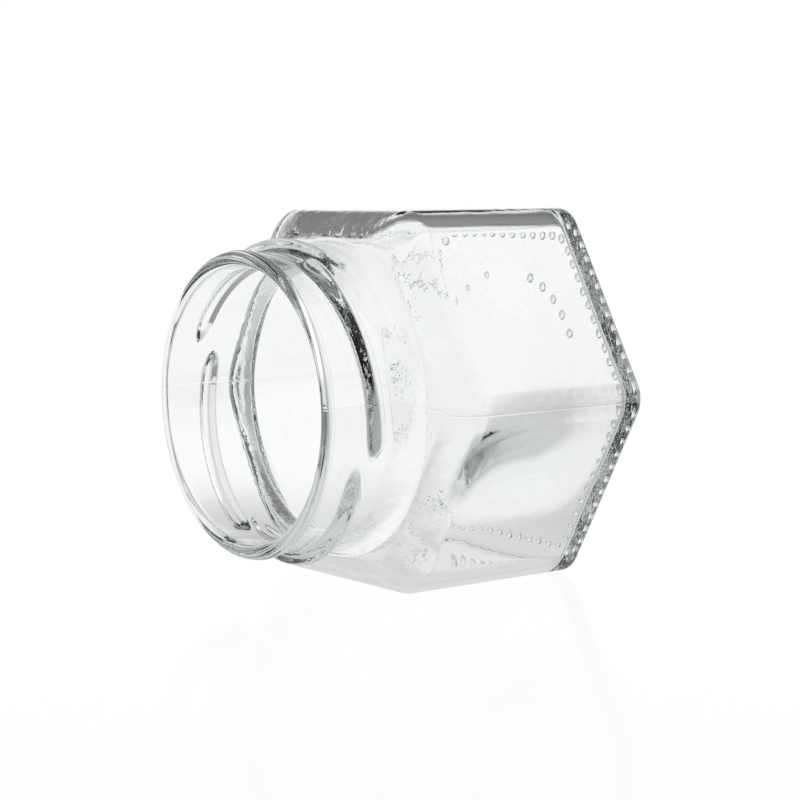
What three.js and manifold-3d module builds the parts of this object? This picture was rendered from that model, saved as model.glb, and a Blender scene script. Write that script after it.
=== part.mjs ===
// An empty hexagonal glass jar without its lid, lying on one of its six flat sides.
// Millimetres, +Z up. The jar's axis runs along X with the mouth towards -X.
// The origin is on the supporting surface, under the middle of the jar.

import * as THREE from 'three';
import { mergeVertices } from 'three/addons/utils/BufferGeometryUtils.js';
import Module from 'manifold-3d';

// Body: a hexagonal prism with rounded edges.
const ACROSS_FLATS = 73;
const BODY_LENGTH = 45.65;
const CORNER_RADIUS = 6;
const CORNER_SHARPENING = 0.3;
const HEEL_DEPTH = 2.6;
const HEEL_INSET = 4.6;
const SHOULDER_DEPTH = 5.6;
const SHOULDER_INSET = 4.8;
const SHOULDER_WIDENING = 2;

// Neck: a round finish for a twist-off lid, with a rounded rim.
const NECK_LENGTH = 21.2;
const NECK_RADIUS = 28.8;
const NECK_STRAIGHT = 14;
const NECK_FOOT_GAP = 0.3;
const RIM_RADIUS = 29.4;
const RIM_HEIGHT = 1.85;
const RIM_ROUNDING = 1.45;
const BORE_RADIUS = 26.4;
const BORE_STRAIGHT = 16.6;

// Inside of the body.
const WALL = 2.2;
const INNER_CORNER_RADIUS = 6;
const SHOULDER_WALL = 1.6;
const INNER_SHOULDER_DEPTH = 6;
const INNER_SHOULDER_INSET = 4.8;
const FLOOR_THICKNESS = 3.9;
const FLOOR_SAG = 0.5;
const INNER_HEEL_DEPTH = 1.6;
const INNER_HEEL_INSET = 1.6;

// Base: a shallow push-up inside the bearing ring, with small domes round the ring and a short code of dots.
const PUSH_UP = 0.8;
const BEARING_REACH = 28.2;
const DOME_COUNT = 68;
const DOME_REACH = 30.6;
const DOME_RADIUS = 1.0;
const DOME_HEIGHT = 0.45;
const DOME_SINK = 0.12;
const CODE_RADIUS = 23;
const CODE_START = 109;
const CODE_STEP = 10.5;
const CODE_COUNT = 5;
const SMALL_DOTS = [75, 56, 44];
const SMALL_DOT_SCALE = 0.75;

// Thread: four slanted lugs, two short and two long, alike on opposite sides. Angles are from +Y towards +Z.
const LUG_ENDS = [[109, 198], [200, 300]];
const LUG_DROP = 7.7;
const LUG_PITCH = 0.043;
const LUG_HALF_WIDTH = 1.65;
const LUG_CREST = 31.4;
const LUG_ROOT = 28.6;
const LUG_TAPER = 5;

// How finely round forms are divided.
const ARC_STEPS = 6;
const FLAT_STEPS = 4;
const EDGE_STEPS = 5;
const FLARE_STEPS = 6;
const PER_SIDE = ARC_STEPS + FLAT_STEPS;
const AROUND = 6 * PER_SIDE;

const SIXTH = Math.PI / 3;
const REACH = ACROSS_FLATS / 2;
const TOTAL = BODY_LENGTH + NECK_LENGTH;

const wasm = await Module();
wasm.setup();

function polar(radius, angle) {
  return new THREE.Vector2(radius * Math.cos(angle), radius * Math.sin(angle));
}

// A point of the rounded hexagon. The columns run round it, closely on the corners and widely on the flats.
function hexagonPoint(column, reach, corner) {
  const side = Math.floor(column / PER_SIDE);
  const step = column % PER_SIDE;
  if (step <= ARC_STEPS) {
    const centre = polar((reach - corner) / Math.cos(SIXTH / 2), side * SIXTH);
    return centre.add(polar(corner, (side + step / ARC_STEPS - 0.5) * SIXTH));
  }
  const from = hexagonPoint(side * PER_SIDE + ARC_STEPS, reach, corner);
  const to = hexagonPoint((side + 1) * PER_SIDE, reach, corner);
  return from.lerp(to, (step - ARC_STEPS) / FLAT_STEPS);
}

// The same column on a circle, where the columns are evenly spaced.
function circlePoint(column, radius) {
  return polar(radius, ((column - ARC_STEPS / 2) * 2 * Math.PI) / AROUND);
}

// One ring of the jar: level is its height above the base, press is 0 where round and 1 where hexagonal.
function ring(reach, level, press, corner = CORNER_RADIUS) {
  return { reach, level, press, corner };
}

// A rounded edge, from the flat it starts on to the body's side.
// Inward is 1 where it rises from a floor and -1 where it drops from a ceiling.
// Widening is how much the hexagon's corner radius grows with each millimetre drawn in.
function roundedEdge(reach, level, inward, depth, inset, corner, widening) {
  const rings = [];
  for (let i = 0; i <= EDGE_STEPS; i++) {
    const angle = (i / EDGE_STEPS) * (Math.PI / 2);
    const drawnIn = inset * (1 - Math.sin(angle));
    const height = level + inward * depth * (1 - Math.cos(angle));
    rings.push(ring(reach - drawnIn, height, 1, corner + widening * drawnIn));
  }
  return rings;
}

// From the straight neck out to the shoulder. Where its press is 1 it turns hexagonal as it spreads.
function flare(radius, foot, reach, level, press, corner) {
  const rings = [];
  for (let i = 0; i <= FLARE_STEPS; i++) {
    const angle = (i / FLARE_STEPS) * (Math.PI / 2);
    const spread = 1 - Math.cos(angle);
    const height = foot - (foot - level) * Math.sin(angle);
    rings.push(ring(THREE.MathUtils.lerp(radius, reach, spread), height, press * spread ** 2, corner));
  }
  return rings;
}

// The level of the pushed-up base at a distance from its centre.
function baseLevel(across) {
  return (PUSH_UP * (1 + Math.cos((Math.PI * across) / BEARING_REACH))) / 2;
}

// From the base's centre over the outside to the rim.
function outsideRings() {
  const rings = [];
  for (const t of [0, 0.25, 0.5, 0.75, 1]) {
    rings.push(ring(t * BEARING_REACH, baseLevel(t * BEARING_REACH), t ** 4));
  }
  const heel = [HEEL_DEPTH, HEEL_INSET, CORNER_RADIUS, -CORNER_SHARPENING];
  const shoulder = [SHOULDER_DEPTH, SHOULDER_INSET, CORNER_RADIUS, SHOULDER_WIDENING];
  const neckFoot = REACH - SHOULDER_INSET - NECK_FOOT_GAP;
  rings.push(...roundedEdge(REACH, 0, 1, ...heel));
  rings.push(...roundedEdge(REACH, BODY_LENGTH, -1, ...shoulder).reverse());
  rings.push(...flare(NECK_RADIUS, TOTAL - NECK_STRAIGHT, neckFoot, BODY_LENGTH, 0, CORNER_RADIUS).reverse());
  rings.push(ring(NECK_RADIUS, TOTAL - 0.75 * NECK_STRAIGHT, 0));
  rings.push(ring(NECK_RADIUS, TOTAL - 0.5 * NECK_STRAIGHT, 0));
  rings.push(ring(NECK_RADIUS, TOTAL - RIM_HEIGHT, 0));
  return rings;
}

// Over the rim, down the bore and round the inside to the floor's centre.
function insideRings() {
  const rings = [];
  for (let i = 0; i <= 4; i++) {
    const angle = (i / 4) * (Math.PI / 2);
    const reach = RIM_RADIUS - RIM_ROUNDING * (1 - Math.cos(angle));
    rings.push(ring(reach, TOTAL - RIM_ROUNDING * (1 - Math.sin(angle)), 0));
  }
  for (let i = 3; i >= 0; i--) {
    const angle = (i / 4) * (Math.PI / 2);
    const reach = BORE_RADIUS + RIM_ROUNDING * (1 - Math.cos(angle));
    rings.push(ring(reach, TOTAL - RIM_ROUNDING * (1 - Math.sin(angle)), 0));
  }
  const ceiling = BODY_LENGTH - SHOULDER_WALL;
  const innerReach = REACH - WALL;
  const shoulder = [INNER_SHOULDER_DEPTH, INNER_SHOULDER_INSET, INNER_CORNER_RADIUS, SHOULDER_WIDENING];
  const heel = [INNER_HEEL_DEPTH, INNER_HEEL_INSET, INNER_CORNER_RADIUS, -CORNER_SHARPENING];
  const ceilingReach = innerReach - INNER_SHOULDER_INSET;
  const ceilingCorner = INNER_CORNER_RADIUS + SHOULDER_WIDENING * INNER_SHOULDER_INSET;
  rings.push(ring(BORE_RADIUS, TOTAL - 0.6 * BORE_STRAIGHT, 0));
  rings.push(...flare(BORE_RADIUS, TOTAL - BORE_STRAIGHT, ceilingReach, ceiling, 1, ceilingCorner));
  rings.push(...roundedEdge(innerReach, ceiling, -1, ...shoulder).slice(1));
  rings.push(...roundedEdge(innerReach, FLOOR_THICKNESS, 1, ...heel).reverse());
  rings.push(ring(innerReach / 2, FLOOR_THICKNESS - 0.7 * FLOOR_SAG, 0.5));
  rings.push(ring(0, FLOOR_THICKNESS - FLOOR_SAG, 0));
  return rings;
}

// From the jar's own measures, across and above the base, to the frame.
function place(across, level) {
  return new THREE.Vector3((TOTAL - DOME_HEIGHT) / 2 - level, across.x, REACH + across.y);
}

// A turned shape whose rings are then pressed into the hexagon.
function glassWall() {
  const rings = [...outsideRings(), ...insideRings()];
  const profile = rings.map(({ reach, level }) => new THREE.Vector2(reach, level));
  const geometry = new THREE.LatheGeometry(profile, AROUND);
  const position = geometry.getAttribute('position');
  for (let i = 0; i < position.count; i++) {
    const column = (AROUND - Math.floor(i / rings.length)) % AROUND;
    const { reach, level, press, corner } = rings[i % rings.length];
    const across = circlePoint(column, reach);
    if (press > 0) {
      across.lerp(hexagonPoint(column, reach, corner), press);
    }
    position.setXYZ(i, ...place(across, level));
  }
  return geometry;
}

// A rib of the thread, from the angle where it is nearest the rim to the angle where it is lowest.
function lug(from, to) {
  const bar = new THREE.CapsuleGeometry(1, 2, 4, 8, 12);
  const position = bar.getAttribute('position');
  const length = THREE.MathUtils.degToRad(to - from) * NECK_RADIUS;
  for (let i = 0; i < position.count; i++) {
    const along = position.getY(i);
    const end = Math.max(Math.abs(along) - 1, 0) * LUG_TAPER;
    const run = THREE.MathUtils.clamp(along, -1, 1) * (length / 2 - LUG_TAPER) + Math.sign(along) * end;
    const angle = THREE.MathUtils.degToRad((from + to) / 2) + run / NECK_RADIUS;
    const drop = LUG_DROP + LUG_PITCH * (THREE.MathUtils.radToDeg(angle) - from);
    const level = TOTAL - drop + position.getX(i) * LUG_HALF_WIDTH;
    const radius = LUG_ROOT + position.getZ(i) * (LUG_CREST - LUG_ROOT);
    position.setXYZ(i, ...place(polar(radius, angle), level));
  }
  return bar;
}

// A small dome that stands out of the base.
function dome(across, level, scale = 1) {
  const sphere = new THREE.SphereGeometry(1, 6, 4);
  sphere.rotateZ(Math.PI / 2);
  sphere.scale(DOME_HEIGHT + DOME_SINK, DOME_RADIUS * scale, DOME_RADIUS * scale);
  const middle = place(across, level + DOME_SINK);
  return sphere.translate(middle.x, middle.y, middle.z);
}

function hexagonPath(reach, corner) {
  const path = new THREE.Path();
  const middle = (reach - corner) / Math.cos(SIXTH / 2);
  for (let side = 0; side < 6; side++) {
    const centre = polar(middle, side * SIXTH);
    path.absarc(centre.x, centre.y, corner, (side - 0.5) * SIXTH, (side + 0.5) * SIXTH);
  }
  return path.closePath();
}

// The domes round the bearing ring, evenly spaced, and the dots of the code on the push-up.
function baseMarks() {
  const corner = CORNER_RADIUS - CORNER_SHARPENING * HEEL_INSET;
  const spaced = hexagonPath(DOME_REACH, corner).getSpacedPoints(DOME_COUNT).slice(0, DOME_COUNT);
  const marks = spaced.map((across) => dome(across, 0));
  for (let i = 0; i < CODE_COUNT; i++) {
    const angle = THREE.MathUtils.degToRad(CODE_START + i * CODE_STEP);
    marks.push(dome(polar(CODE_RADIUS, angle), baseLevel(CODE_RADIUS)));
  }
  for (const angle of SMALL_DOTS) {
    const across = polar(CODE_RADIUS, THREE.MathUtils.degToRad(angle));
    marks.push(dome(across, baseLevel(CODE_RADIUS), SMALL_DOT_SCALE));
  }
  return marks;
}

// A closed mesh as a solid for joining: shared corners merged, faces that closed up at a pole dropped.
function solid(geometry) {
  const bare = geometry.clone();
  bare.deleteAttribute('normal');
  bare.deleteAttribute('uv');
  const merged = mergeVertices(bare, 1e-3);
  const index = merged.getIndex().array;
  const faces = [];
  for (let i = 0; i < index.length; i += 3) {
    const [a, b, c] = index.slice(i, i + 3);
    if (a !== b && b !== c && c !== a) {
      faces.push(a, b, c);
    }
  }
  const mesh = new wasm.Mesh({
    numProp: 3,
    vertProperties: new Float32Array(merged.getAttribute('position').array),
    triVerts: new Uint32Array(faces),
  });
  return new wasm.Manifold(mesh);
}

function joined(geometries) {
  return geometries.map(solid).reduce((whole, piece) => whole.add(piece));
}

function jar() {
  const lugs = [];
  for (const half of [0, 180]) {
    for (const [from, to] of LUG_ENDS) {
      lugs.push(lug(from + half, to + half));
    }
  }
  const mesh = joined([glassWall(), ...lugs, ...baseMarks()]).getMesh();
  const geometry = new THREE.BufferGeometry();
  geometry.setAttribute('position', new THREE.BufferAttribute(mesh.vertProperties, 3));
  geometry.setIndex(new THREE.BufferAttribute(mesh.triVerts, 1));
  geometry.computeVertexNormals();
  const glass = new THREE.MeshStandardMaterial({
    color: 0xe9eeed,
    roughness: 0.03,
    metalness: 0,
    transparent: true,
    opacity: 0.35,
  });
  const object = new THREE.Mesh(geometry, glass);
  object.name = 'jar';
  return object;
}

const model = new THREE.Group();
model.add(jar());

export default model;
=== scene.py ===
import math

import bmesh
import bpy
from mathutils import Matrix, Vector, noise


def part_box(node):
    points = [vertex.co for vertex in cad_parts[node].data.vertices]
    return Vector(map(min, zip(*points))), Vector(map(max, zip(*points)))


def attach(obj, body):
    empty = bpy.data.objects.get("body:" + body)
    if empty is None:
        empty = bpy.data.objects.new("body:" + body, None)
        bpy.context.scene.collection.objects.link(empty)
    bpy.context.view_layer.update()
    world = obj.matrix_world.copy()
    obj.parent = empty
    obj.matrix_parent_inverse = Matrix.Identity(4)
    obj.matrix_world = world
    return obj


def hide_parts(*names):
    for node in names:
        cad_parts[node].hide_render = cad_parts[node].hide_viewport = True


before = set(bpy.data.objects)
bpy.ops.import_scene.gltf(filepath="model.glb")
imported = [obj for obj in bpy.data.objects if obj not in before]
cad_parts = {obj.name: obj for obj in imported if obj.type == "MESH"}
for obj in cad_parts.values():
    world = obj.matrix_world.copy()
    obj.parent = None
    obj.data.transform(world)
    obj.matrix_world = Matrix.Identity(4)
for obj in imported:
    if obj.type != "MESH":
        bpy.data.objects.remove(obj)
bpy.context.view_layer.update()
scene = bpy.context.scene


# The camera
# The jar was photographed from in front of its mouth and a little above. The camera's distance
# and lens are multiples of the jar's width across its flats, measured from the body's middle.

low, high = (Vector(corner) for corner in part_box("jar"))
across_flats = high.z - low.z
body_middle = Vector((0.010775, 0, across_flats / 2))

photo_width = 800
sensor_width = 36
focal_pixels = 2087.7
camera_distance = 5.764 * across_flats
camera_side = math.radians(-36.88)
camera_height = math.radians(6.04)
camera_roll = math.radians(-0.42)
aim_right = -0.0682 * across_flats
aim_up = -0.0265 * across_flats

backward = Vector((
    math.sin(camera_side) * math.cos(camera_height),
    -math.cos(camera_side) * math.cos(camera_height),
    math.sin(camera_height),
))
level_right = (-backward).cross(Vector((0, 0, 1))).normalized()
level_up = level_right.cross(-backward)
right = math.cos(camera_roll) * level_right + math.sin(camera_roll) * level_up
up = -math.sin(camera_roll) * level_right + math.cos(camera_roll) * level_up

camera_data = bpy.data.cameras.new("camera")
camera_data.sensor_width = sensor_width
camera_data.lens = focal_pixels * sensor_width / photo_width
camera_data.clip_start = 0.01
camera = bpy.data.objects.new("camera", camera_data)
place = body_middle + camera_distance * backward + aim_right * right + aim_up * up
turned = Matrix((right, up, backward)).transposed().to_4x4()
camera.matrix_world = Matrix.Translation(place) @ turned
scene.collection.objects.link(camera)
scene.camera = camera


# The glass wall
# One piece of soda-lime glass, turned as one closed profile and pressed into a hexagon with
# rounded edges, under a flared shoulder, a round neck and a rounded rim. Air shapes the inside,
# so it is a little wavy, and on one lower side the glass ran together more thickly.

MM = 0.001
reach = across_flats / MM / 2
body_length = 45.65
total_length = 66.85
dome_height = 0.45
corner_radius = 6.0
corner_sharpening = 0.3
heel = (2.6, 4.6)
shoulder = (5.6, 4.8)
shoulder_widening = 2.0
neck_radius = 28.8
neck_straight = 14.0
neck_foot_gap = 0.3
rim_radius = 29.4
rim_height = 1.85
rim_rounding = 1.45
bore_radius = 26.4
bore_straight = 16.6
wall = 2.2
inner_corner_radius = 6.0
shoulder_wall = 1.6
inner_shoulder = (6.0, 4.8)
floor_thickness = 3.9
floor_sag = 0.5
inner_heel = (1.6, 1.6)
push_up = 0.8
bearing_reach = 28.2
inside_wave_size = 14.0
inside_wave_height = 0.2
inside_wave_fade = 20
inside_wave_seed = 1
gather_angle = 197
gather_width = 23
gather_foot = 4.5
gather_crest = 22
gather_end = 40.5
gather_depth = 2.8

corner_columns = 16
flat_columns = 24
side_columns = corner_columns + flat_columns
columns = 6 * side_columns
sixth = math.pi / 3
weld_distance = 1e-7

base_rings = 20
side_rings = 8
edge_rings = 14
flare_rings = 24
neck_rings = 76
rim_foot_rings = 5
crown_rings = 10
bore_rings = 12
inner_side_rings = 24
floor_rings = 16


def lerp(a, b, t):
    return a + (b - a) * t


def polar(radius, angle):
    return Vector((radius * math.cos(angle), radius * math.sin(angle)))


def quarter(steps):
    """Angles from 0 to 90 degrees."""
    return [i / steps * math.pi / 2 for i in range(steps + 1)]


def rounded_edge(edge_reach, level, inward, depth, inset, corner, widening):
    """Rings of a rounded edge, from its flat end to the body's side; inward is 1 above a floor."""
    rings = []
    for angle in quarter(edge_rings):
        drawn_in = inset * (1 - math.sin(angle))
        ring_level = level + inward * depth * (1 - math.cos(angle))
        rings.append((edge_reach - drawn_in, ring_level, 1, corner + widening * drawn_in))
    return rings


def flare(neck, foot, body, level, press, corner):
    """Rings from the straight neck out to the shoulder; a pressed one turns hexagonal on the way."""
    rings = []
    for angle in quarter(flare_rings):
        spread = 1 - math.cos(angle)
        ring_level = foot - (foot - level) * math.sin(angle)
        rings.append((lerp(neck, body, spread), ring_level, press * spread ** 2, corner))
    return rings


def straight(radius, start, end, steps, press=0):
    """Evenly spaced rings between two others of the same radius."""
    return [(radius, lerp(start, end, i / steps), press, corner_radius) for i in range(1, steps)]


def base_level(across):
    """The level of the pushed-up base at a distance from its centre."""
    return push_up * (1 + math.cos(math.pi * across / bearing_reach)) / 2


def crown(edge, side, angle):
    """A ring of the rim's half-round crown; side is 1 on its outside and -1 on its inside."""
    drawn_in = rim_rounding * (1 - math.cos(angle))
    return (edge - side * drawn_in, total_length - rim_rounding * (1 - math.sin(angle)), 0, corner_radius)


rings = []
for i in range(base_rings + 1):
    t = i / base_rings
    rings.append((bearing_reach * t, base_level(bearing_reach * t), t ** 4, corner_radius))
heel_corner = corner_radius - corner_sharpening * heel[1]
rings += rounded_edge(reach, 0, 1, *heel, corner_radius, -corner_sharpening)
rings += straight(reach, heel[0], body_length - shoulder[0], side_rings, 1)
rings += rounded_edge(reach, body_length, -1, *shoulder, corner_radius, shoulder_widening)[::-1]
neck_foot = total_length - neck_straight
thread_start = len(rings)
flare_reach = reach - shoulder[1] - neck_foot_gap
rings += flare(neck_radius, neck_foot, flare_reach, body_length, 0, corner_radius)[::-1]
rim_foot = total_length - rim_height
rings += straight(neck_radius, neck_foot, rim_foot, neck_rings)
thread_end = len(rings)
rim_step = rim_height - rim_rounding
for angle in quarter(rim_foot_rings)[:-1]:
    step_out = (rim_radius - neck_radius) * math.sin(angle)
    rings.append((neck_radius + step_out, rim_foot + rim_step * (1 - math.cos(angle)), 0, corner_radius))
rings += [crown(rim_radius, 1, angle) for angle in quarter(crown_rings)]
rings += [crown(bore_radius, -1, angle) for angle in quarter(crown_rings)[::-1]]
inside_start = len(rings)
throat = total_length - bore_straight
rings += straight(bore_radius, total_length - rim_rounding, throat, bore_rings)
inner_reach = reach - wall
ceiling = body_length - shoulder_wall
ceiling_reach = inner_reach - inner_shoulder[1]
ceiling_corner = inner_corner_radius + shoulder_widening * inner_shoulder[1]
rings += flare(bore_radius, throat, ceiling_reach, ceiling, 1, ceiling_corner)
edge = rounded_edge(inner_reach, ceiling, -1, *inner_shoulder, inner_corner_radius, shoulder_widening)
rings += edge[1:]
inside_bottom = floor_thickness + inner_heel[0]
rings += straight(inner_reach, ceiling - inner_shoulder[0], inside_bottom, inner_side_rings, 1)
edge = rounded_edge(inner_reach, floor_thickness, 1, *inner_heel, inner_corner_radius, -corner_sharpening)
rings += edge[::-1]
floor_reach = inner_reach - inner_heel[1]
floor_corner = inner_corner_radius - corner_sharpening * inner_heel[1]
for i in range(floor_rings - 1, -1, -1):
    t = i / floor_rings
    sag = floor_sag * (1 + math.cos(math.pi * t)) / 2
    rings.append((floor_reach * t, floor_thickness - sag, t, floor_corner))


def hexagon_point(column, half, corner):
    """A column of the rounded hexagon, closely spaced on the corners and next to them."""
    side, step = divmod(column, side_columns)
    if step <= corner_columns:
        centre = polar((half - corner) / math.cos(sixth / 2), side * sixth)
        return centre + polar(corner, (side + step / corner_columns - 0.5) * sixth)
    start = hexagon_point(side * side_columns + corner_columns, half, corner)
    end = hexagon_point((side + 1) * side_columns, half, corner)
    return start.lerp(end, (1 - math.cos(math.pi * (step - corner_columns) / flat_columns)) / 2)


def circle_point(column, radius):
    return polar(radius, (column - corner_columns / 2) * 2 * math.pi / columns)


# The thread
# Four slanted lugs stand out of the neck, two short and two long. They are pressed with the neck,
# so their feet run smoothly into it and both ends of each taper off.

lug_ends = ((109, 198), (200, 300), (289, 378), (20, 120))
lug_drop = 7.7
lug_pitch = 0.043
lug_half_width = 1.95
lug_radius = 31.4
lug_height = lug_radius - neck_radius
lug_fullness = 1.5
lug_taper = 5.5


def lug_rise(angle, level):
    """How far the thread lifts the neck's surface at an angle and a level."""
    for start, end in lug_ends:
        turn = (math.degrees(angle) - start + 180) % 360 - 180 + start
        middle = total_length - lug_drop - lug_pitch * (turn - start)
        length = math.radians(end - start) * neck_radius
        run = abs(math.radians(turn - (start + end) / 2)) * neck_radius
        past = max(run - (length / 2 - lug_taper), 0) / lug_taper
        away = math.hypot(past, (level - middle) / lug_half_width)
        if away < 1:
            return lug_height * math.cos(math.pi / 2 * away ** lug_fullness) ** 2
    return 0


def gathered(angle, level):
    """How much thicker the glass is where it ran together, thinning quickly at the shoulder."""
    turn = math.degrees(angle) % 360
    aside = math.cos(math.pi / 2 * min(abs(turn - gather_angle) / gather_width, 1)) ** 2
    if level > gather_crest:
        past = min((level - gather_crest) / (gather_end - gather_crest), 1)
        return gather_depth * aside * (1 - past ** 3)
    before = min((gather_crest - level) / (gather_crest - gather_foot), 1)
    return gather_depth * aside * (1 + math.cos(math.pi * before)) / 2


def pressed(column, ring):
    """Where a vertex of the turned profile lies once the glass has its final shape."""
    half, level, press, corner = rings[ring]
    across = circle_point(column, half)
    if thread_start <= ring < thread_end:
        across *= 1 + lug_rise(math.atan2(across.y, across.x), level) / half
    if press > 0:
        across = across.lerp(hexagon_point(column, half, corner), press)
    inside = ring >= inside_start
    if inside and level > floor_thickness:
        across *= 1 - gathered(math.atan2(across.y, across.x), level) / across.length
    spot = Vector(((total_length - dome_height) / 2 - level, across.x, reach + across.y))
    if inside:
        fade = min((ring - inside_start) / inside_wave_fade, 1)
        spot += fade * inside_wave_height * noise.noise_vector(spot / inside_wave_size)
    return spot * MM


noise.seed_set(inside_wave_seed)
glass = bmesh.new()
ring_of = glass.verts.layers.int.new("ring")
profile = []
for number, (half, level, press, corner) in enumerate(rings):
    vertex = glass.verts.new((-level * MM, half * MM, 0))
    vertex[ring_of] = number
    profile.append(vertex)
chain = [glass.edges.new(pair) for pair in zip(profile, profile[1:])]
bmesh.ops.spin(
    glass, geom=profile + chain, axis=(1, 0, 0), cent=(0, 0, 0), dvec=(0, 0, 0),
    angle=2 * math.pi, steps=columns, use_merge=True,
)
for vertex in glass.verts:
    turn = math.atan2(vertex.co.z, vertex.co.y) / (2 * math.pi) * columns
    vertex.co = pressed(round(turn) % columns, vertex[ring_of])
bmesh.ops.remove_doubles(glass, verts=glass.verts, dist=weld_distance)
bmesh.ops.recalc_face_normals(glass, faces=glass.faces)
glass_mesh = bpy.data.meshes.new("jar_glass")
glass.to_mesh(glass_mesh)
glass.free()
jar = bpy.data.objects.new("jar_glass", glass_mesh)
scene.collection.objects.link(jar)


# The base's small domes
# A row of low domes follows the bearing ring, so that the hot glass touches the belt only there,
# and a short code of dots stands on the push-up. They are one with the base.

dome_count = 68
dome_reach = 30.6
dome_radius = 1.0
dome_subdivisions = 3
code_radius = 23
code_dots = 5
code_start = 109
code_step = 10.5
small_dot_angles = (75, 56, 44)
small_dot_scale = 0.75
sharp_angle = math.radians(32)


def walk(corners, distance):
    """The point at a distance along a closed row of points."""
    for a, b in zip(corners, corners[1:] + corners[:1]):
        side = (b - a).length
        if distance <= side:
            return a.lerp(b, distance / side)
        distance -= side
    return corners[0]


def add_dome(domes, across, level, scale=1.0):
    """A low spherical cap of glass, most of its sphere sunk in the base."""
    radius = dome_radius * scale
    ball = (radius ** 2 + dome_height ** 2) / (2 * dome_height)
    top = (total_length - dome_height) / 2 - level + dome_height
    centre = Matrix.Translation(Vector((top - ball, across.x, reach + across.y)) * MM)
    bmesh.ops.create_icosphere(domes, subdivisions=dome_subdivisions, radius=ball * MM, matrix=centre)


domes = bmesh.new()
track = [hexagon_point(column, dome_reach, heel_corner) for column in range(columns)]
track_length = sum((b - a).length for a, b in zip(track, track[1:] + track[:1]))
for i in range(dome_count):
    add_dome(domes, walk(track, (i + 0.5) / dome_count * track_length), 0)
for i in range(code_dots):
    spot = polar(code_radius, math.radians(code_start + code_step * i))
    add_dome(domes, spot, base_level(code_radius))
for angle in small_dot_angles:
    spot = polar(code_radius, math.radians(angle))
    add_dome(domes, spot, base_level(code_radius), small_dot_scale)
dome_mesh = bpy.data.meshes.new("domes")
domes.to_mesh(dome_mesh)
domes.free()
dome_object = bpy.data.objects.new("domes", dome_mesh)
scene.collection.objects.link(dome_object)

fuse = jar.modifiers.new("fuse", "BOOLEAN")
fuse.operation = "UNION"
fuse.solver = "MANIFOLD"
fuse.object = dome_object
fused = bpy.data.meshes.new_from_object(jar.evaluated_get(bpy.context.evaluated_depsgraph_get()))
jar.modifiers.clear()
jar.data = fused
fused.name = "jar_glass"
bpy.data.objects.remove(dome_object)
fused.polygons.foreach_set("use_smooth", [True] * len(fused.polygons))
fused.set_sharp_from_angle(angle=sharp_angle)


# The glass itself
# Clear soda-lime glass with the faint green-grey of its iron. Its skin is fire-polished, with slow
# waves, a fine ripple on the shoulder and the base, where the glass was chilled first, and thin
# seams where the halves of the body's mould and of the neck's ring met.


class Node:
    """One shader socket, with arithmetic that adds the nodes it needs."""

    def __init__(self, tree, socket):
        self.tree = tree
        self.socket = socket

    def make(self, kind, settings=None, output=0, **inputs):
        node = self.tree.nodes.new(kind)
        for name, value in (settings or {}).items():
            setattr(node, name, value)
        for name, value in inputs.items():
            numbered = name[0] == "i" and name[1:].isdigit()
            target = node.inputs[int(name[1:]) if numbered else name.replace("_", " ")]
            if isinstance(value, Node):
                self.tree.links.new(value.socket, target)
            else:
                target.default_value = value
        return Node(self.tree, node.outputs[output])

    def maths(self, operation, a, b=0.0):
        return self.make("ShaderNodeMath", {"operation": operation}, i0=a, i1=b)

    def __add__(self, other):
        return self.maths("ADD", self, other)

    __radd__ = __add__

    def __mul__(self, other):
        return self.maths("MULTIPLY", self, other)

    __rmul__ = __mul__

    def __sub__(self, other):
        return self.maths("SUBTRACT", self, other)

    def __rsub__(self, other):
        return self.maths("SUBTRACT", other, self)

    def eased(self, begin, end, low, high):
        """Goes softly from low to high while this goes from begin to end."""
        return self.make(
            "ShaderNodeMapRange", {"interpolation_type": "SMOOTHSTEP"},
            Value=self, i1=begin, i2=end, i3=low, i4=high,
        )


wave_size = 0.016
wave_detail = 1.0
wave_height = 0.00015
ripple_size = 0.0023
ripple_detail = 2.0
ripple_height = 0.00008
neck_ripple = 0.03
side_ripple = 0.12
flare_begins = (-0.0195, -0.0145)
shoulder_ends = (-0.010, -0.002)
base_begins = (0.024, 0.030)
skin_roughness = 0.012
skin_tint = (0.985, 0.995, 0.99, 1)
glass_ior = 1.5
absorption_colour = (0.36, 0.47, 0.45, 1)
absorption_density = 11.0
neck_seam_rise = 0.0016
body_seam_rise = -0.0004
seam_half_width = 0.00028
seam_height = 0.00006
seam_step = (-0.013, -0.012)
seam_fades = (-0.006, 0.012)
faded_seam = 0.3
neck_skin = 0.0276
corner_skin = 0.0398
skin_widens = (-0.015, -0.008)

glass_material = bpy.data.materials.new("clear_glass")
glass_material.use_nodes = True
tree = glass_material.node_tree
shader = tree.nodes["Principled BSDF"]
output = tree.nodes["Material Output"]
start = Node(tree, None)
position = start.make("ShaderNodeTexCoord", output=3)
waves = start.make("ShaderNodeTexNoise", Vector=position, Scale=1 / wave_size, Detail=wave_detail)
ripple = start.make("ShaderNodeTexNoise", Vector=position, Scale=1 / ripple_size, Detail=ripple_detail)
along = start.make("ShaderNodeSeparateXYZ", output=0, Vector=position)
shoulder_ripple = along.eased(*flare_begins, neck_ripple, 1) * along.eased(*shoulder_ends, 1, side_ripple)
rippled = shoulder_ripple + along.eased(*base_begins, 0, 1 - side_ripple)
relief = waves * (wave_height / ripple_height) + ripple * rippled
side = start.make("ShaderNodeSeparateXYZ", output=1, Vector=position)
rise = start.make("ShaderNodeSeparateXYZ", output=2, Vector=position) - across_flats / 2
seam_rise = along.eased(*seam_step, neck_seam_rise, body_seam_rise)
off_seam = start.maths("ABSOLUTE", rise - seam_rise)
from_axis = start.maths("SQRT", side * side + rise * rise)
skin = along.eased(*skin_widens, neck_skin, corner_skin)
outside = start.maths("GREATER_THAN", from_axis, skin)
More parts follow.
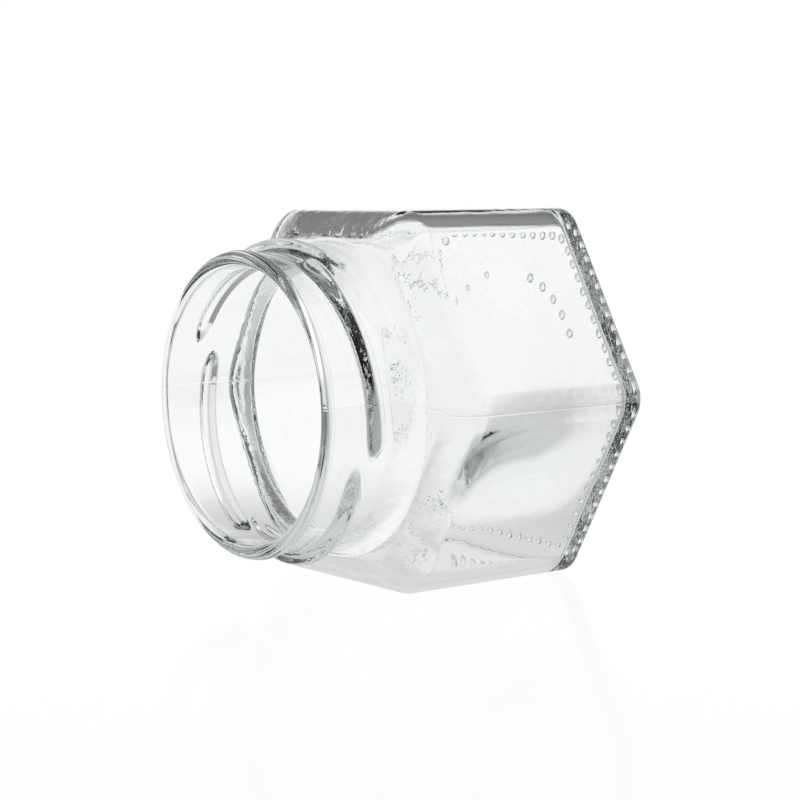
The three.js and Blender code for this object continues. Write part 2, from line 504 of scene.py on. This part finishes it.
seam = off_seam.eased(0, seam_half_width, 1, 0) * outside * along.eased(*seam_fades, 1, faded_seam)
relief = relief + seam * (seam_height / ripple_height)
bump = start.make("ShaderNodeBump", Height=relief, Distance=ripple_height, Strength=1.0)
tree.links.new(bump.socket, shader.inputs["Normal"])
roughness = waves * skin_roughness
tree.links.new(roughness.socket, shader.inputs["Roughness"])
shader.inputs["Base Color"].default_value = skin_tint
shader.inputs["IOR"].default_value = glass_ior
shader.inputs["Transmission Weight"].default_value = 1.0
absorption = start.make("ShaderNodeVolumeAbsorption", Color=absorption_colour, Density=absorption_density)
tree.links.new(absorption.socket, output.inputs["Volume"])
jar.data.materials.clear()
jar.data.materials.append(glass_material)
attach(jar, "root")
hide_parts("jar")


# The table and the light
# The jar lies on a glossy white light table before a white backdrop. The room overhead, to the
# right and beside the table is dimmer, so the rounded edges of the glass gather its dark. The
# table's glow is painted shade for all but camera rays: a painted shadow of the jar darkens it
# near the jar, and painted shade dims it to the right, the left and the near side.

table_size = 6.0
table_top = bmesh.new()
bmesh.ops.create_grid(table_top, x_segments=1, y_segments=1, size=table_size / 2)
table_mesh = bpy.data.meshes.new("table")
table_top.to_mesh(table_mesh)
table_top.free()
table = bpy.data.objects.new("table", table_mesh)
scene.collection.objects.link(table)
table_material = bpy.data.materials.new("white_table")
table_material.use_nodes = True
table_gloss = 0.05
table_roughness = 0.12
# Painted shadow: close to the jar the table's glow falls to this level, as if the jar shaded it.
painted_shadow_glow = 0.74
full_glow = 0.97
# Painted shade: these lower the table's glow to its right, its left and its near side.
right_glow = 0.45
left_glow = 0.66
near_glow = 0.42
right_spread = (0.15, 0.6)
left_spread = (-0.7, -0.35)
near_spread = (-0.2, 0.3)
painted_shadow_reach = (0.02, 0.16)
backdrop_direction = (0.6, 0.8, 0.0)
rightward_direction = (0.8, -0.6, 0.0)
table_start = Node(table_material.node_tree, None)
spot = table_start.make("ShaderNodeTexCoord", output=3)
away = table_start.make("ShaderNodeVectorMath", {"operation": "LENGTH"}, output=1, i0=spot)
heading = table_start.make("ShaderNodeVectorMath", {"operation": "NORMALIZE"}, i0=spot)
ahead = table_start.make(
    "ShaderNodeVectorMath", {"operation": "DOT_PRODUCT"}, output=1, i0=heading, i1=backdrop_direction,
)
rightward = table_start.make(
    "ShaderNodeVectorMath", {"operation": "DOT_PRODUCT"}, output=1, i0=heading, i1=rightward_direction,
)
# Painted shade on the table's glow, dimmer towards the right, the left and the near side.
painted_side_shade = rightward.eased(*right_spread, 1, right_glow) * rightward.eased(*left_spread, left_glow, 1)
open_glow = full_glow * painted_side_shade * ahead.eased(*near_spread, near_glow, 1)
# A painted shadow of the jar: the glow eases down to the shaded level within a short reach of the jar.
painted_shade = away.eased(*painted_shadow_reach, 0, 1) * (open_glow - painted_shadow_glow) + painted_shadow_glow
looked_at = table_start.make("ShaderNodeLightPath")
glow = table_start.make("ShaderNodeEmission", Strength=table_start.maths("MAXIMUM", painted_shade, looked_at))
gloss = table_start.make("ShaderNodeBsdfGlossy", Color=(1, 1, 1, 1), Roughness=table_roughness)
blend = table_start.make("ShaderNodeMixShader", i0=table_gloss, i1=glow, i2=gloss)
table_output = table_material.node_tree.nodes["Material Output"]
table_material.node_tree.links.new(blend.socket, table_output.inputs["Surface"])
table.data.materials.append(table_material)

backdrop_level = 1.0
backdrop_spread = (0.3, 0.8)
room_level = 0.85
right_direction = (1.0, -0.05, 0.0)
right_dimming = 0.5
right_extent = (0.72, 0.9)
right_height = (0.18, 0.34)
ceiling_level = 0.18
ceiling_extent = (0.1, 0.5)
ceiling_height = (0.18, 0.5)
softbox_direction = (0.55, -0.42, 0.72)
softbox_level = 0.45
softbox_extent = (0.80, 0.92)
world = bpy.data.worlds.new("studio")
scene.world = world
world.use_nodes = True
sky = world.node_tree
background = sky.nodes["Background"]
sky_start = Node(sky, None)
direction = sky_start.make("ShaderNodeTexCoord")
sky_height = sky_start.make("ShaderNodeSeparateXYZ", output=2, Vector=direction)


def towards(target, begin, end, low, high):
    """A level that rises softly from low to high as a ray turns towards a direction."""
    facing = sky_start.make(
        "ShaderNodeVectorMath", {"operation": "DOT_PRODUCT"}, output=1, i0=direction, i1=target,
    )
    return facing.eased(begin, end, low, high)


walls = towards(backdrop_direction, *backdrop_spread, room_level, backdrop_level)
over_backdrop = towards(backdrop_direction, *ceiling_extent, 0.0, 1.0)
dimmed = over_backdrop * sky_height.eased(*ceiling_height, 0.0, 1.0)
low_down = sky_height.eased(*right_height, 1.0, 0.0)
to_the_right = towards(right_direction, *right_extent, 0.0, right_dimming) * low_down
softbox = towards(softbox_direction, *softbox_extent, 0.0, softbox_level)
studio = walls * (1 - dimmed) * (1 - to_the_right) + dimmed * ceiling_level + softbox
seen = sky_start.make("ShaderNodeLightPath")
strength = sky_start.maths("MAXIMUM", studio, seen)
sky.links.new(strength.socket, background.inputs["Strength"])
background.inputs["Color"].default_value = (1, 1, 1, 1)

scene.view_settings.view_transform = "Standard"
glass_bounces = 32
table_bounces = 12
scene.cycles.max_bounces = glass_bounces
scene.cycles.transmission_bounces = glass_bounces
scene.cycles.glossy_bounces = table_bounces
scene.cycles.transparent_max_bounces = glass_bounces
